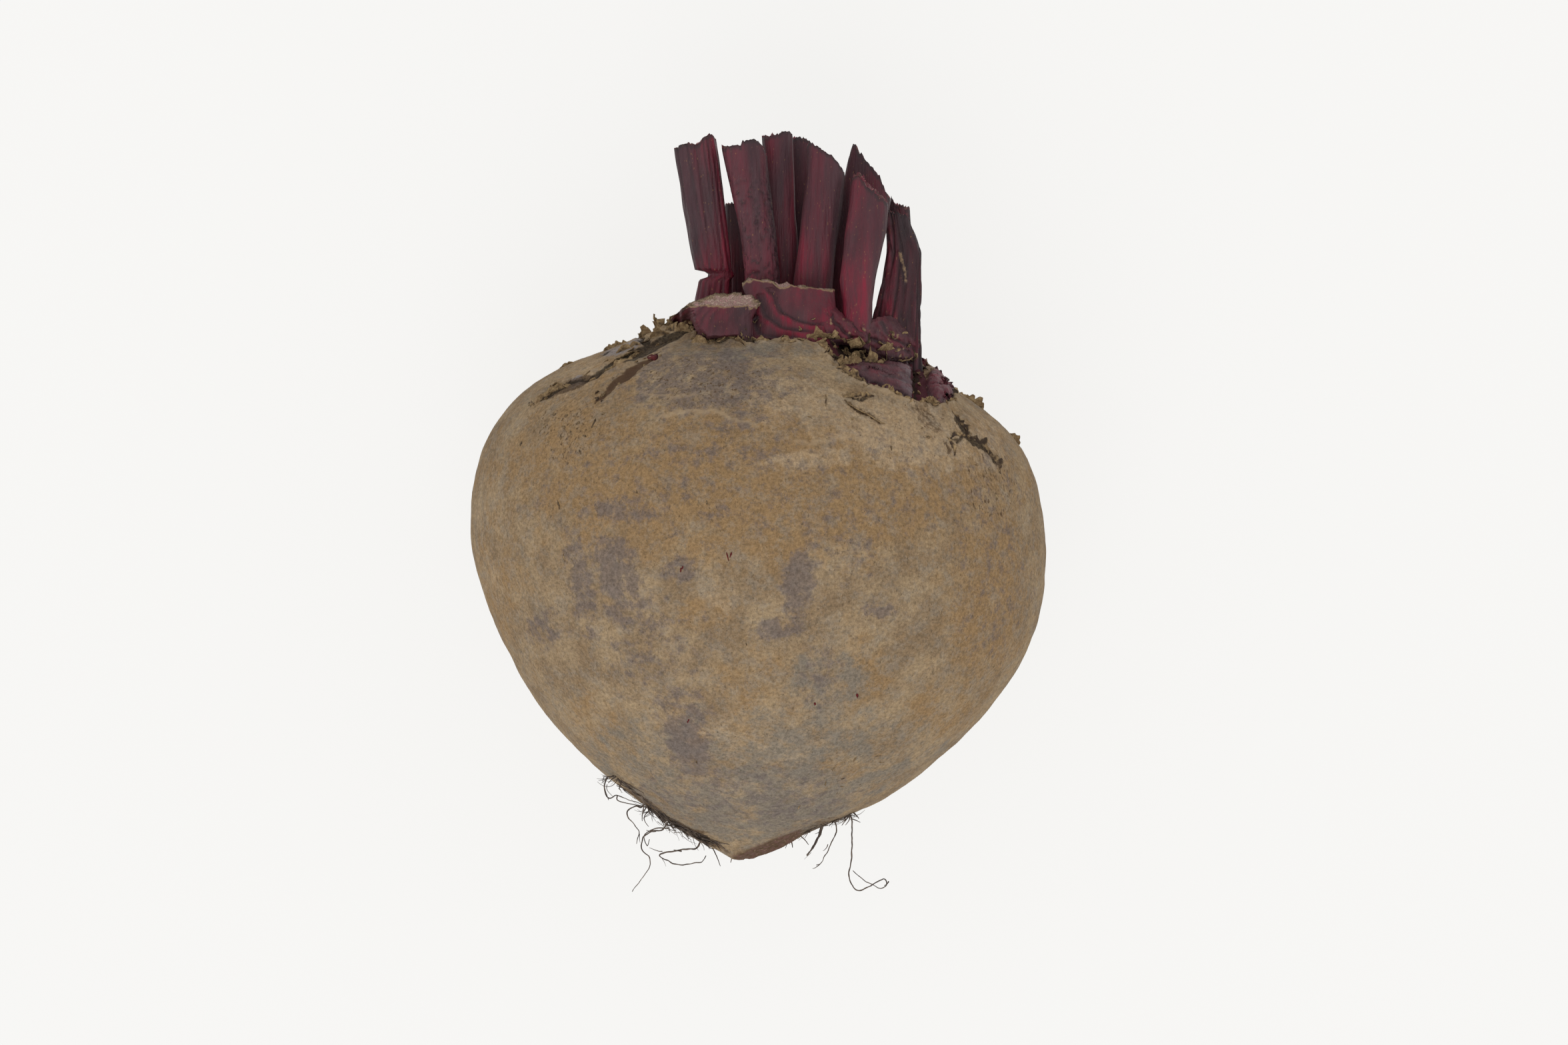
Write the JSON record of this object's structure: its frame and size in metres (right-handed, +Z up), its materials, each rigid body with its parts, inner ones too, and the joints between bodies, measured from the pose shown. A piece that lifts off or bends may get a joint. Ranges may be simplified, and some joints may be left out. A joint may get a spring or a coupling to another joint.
{
  "type": "beetroot",
  "caption": "Round beetroot lying on its side, with a corky skin, stubs of dark red cut leaf stalks at the crown, a cut taproot and fine rootlets.",
  "frame": {"origin": "middle of the small flat spot on the belly of the root, on which it lies", "axes": "+Y from the taproot to the crown along the root's long axis, +Z up from the surface that it lies on, +X to the right when looked down on with the crown away from the viewer"},
  "size_m": [0.1, 0.132, 0.0918],
  "materials": {
    "cork_skin": "matte corky root skin, khaki to grey-purple",
    "stalk_skin": "satin leaf-stalk skin, deep maroon, ribbed lengthwise",
    "dry_stalk": "dried leaf stalk, dark grey-purple, deeply grooved",
    "leaf_base_skin": "satin leaf-base skin, maroon with red streaks",
    "dry_scale": "dry papery skin scale, brown",
    "rootlet_skin": "dry fine root, dark grey-brown"
  },
  "bodies": {
    "root": {"dry_scale_far_left": "dry_scale", "dry_scale_left": "dry_scale", "dry_scale_right": "dry_scale", "dry_scale_shoulder": "dry_scale", "leaf_base_back": "leaf_base_skin", "leaf_base_back_left": "leaf_base_skin", "leaf_base_back_right": "dry_stalk", "leaf_base_front": "leaf_base_skin", "leaf_base_front_left": "leaf_base_skin", "leaf_remnant_right": "leaf_base_skin", "leaf_scar_right": "leaf_base_skin", "root": "cork_skin", "rootlet_back_left": "rootlet_skin", "rootlet_back_right": "rootlet_skin", "rootlet_left_curl": "rootlet_skin", "rootlet_left_edge": "rootlet_skin", "rootlet_left_long": "rootlet_skin", "rootlet_left_loop": "rootlet_skin", "rootlet_mat_high": "rootlet_skin", "rootlet_mat_low": "rootlet_skin", "rootlet_right_blade": "rootlet_skin", "rootlet_right_long": "rootlet_skin", "rootlet_right_short": "rootlet_skin", "rootlet_tuft_right": "rootlet_skin", "stalk_back": "stalk_skin", "stalk_back_left": "stalk_skin", "stalk_back_middle": "dry_stalk", "stalk_back_right": "stalk_skin", "stalk_dark_left": "dry_stalk", "stalk_far_right": "dry_stalk", "stalk_far_right_back": "dry_stalk", "stalk_flat": "stalk_skin", "stalk_left": "stalk_skin", "stalk_mid_left": "stalk_skin", "stalk_middle": "stalk_skin", "stalk_middle_back": "stalk_skin", "stalk_right": "stalk_skin", "stalk_right_back": "stalk_skin"}
  },
  "joints": []
}
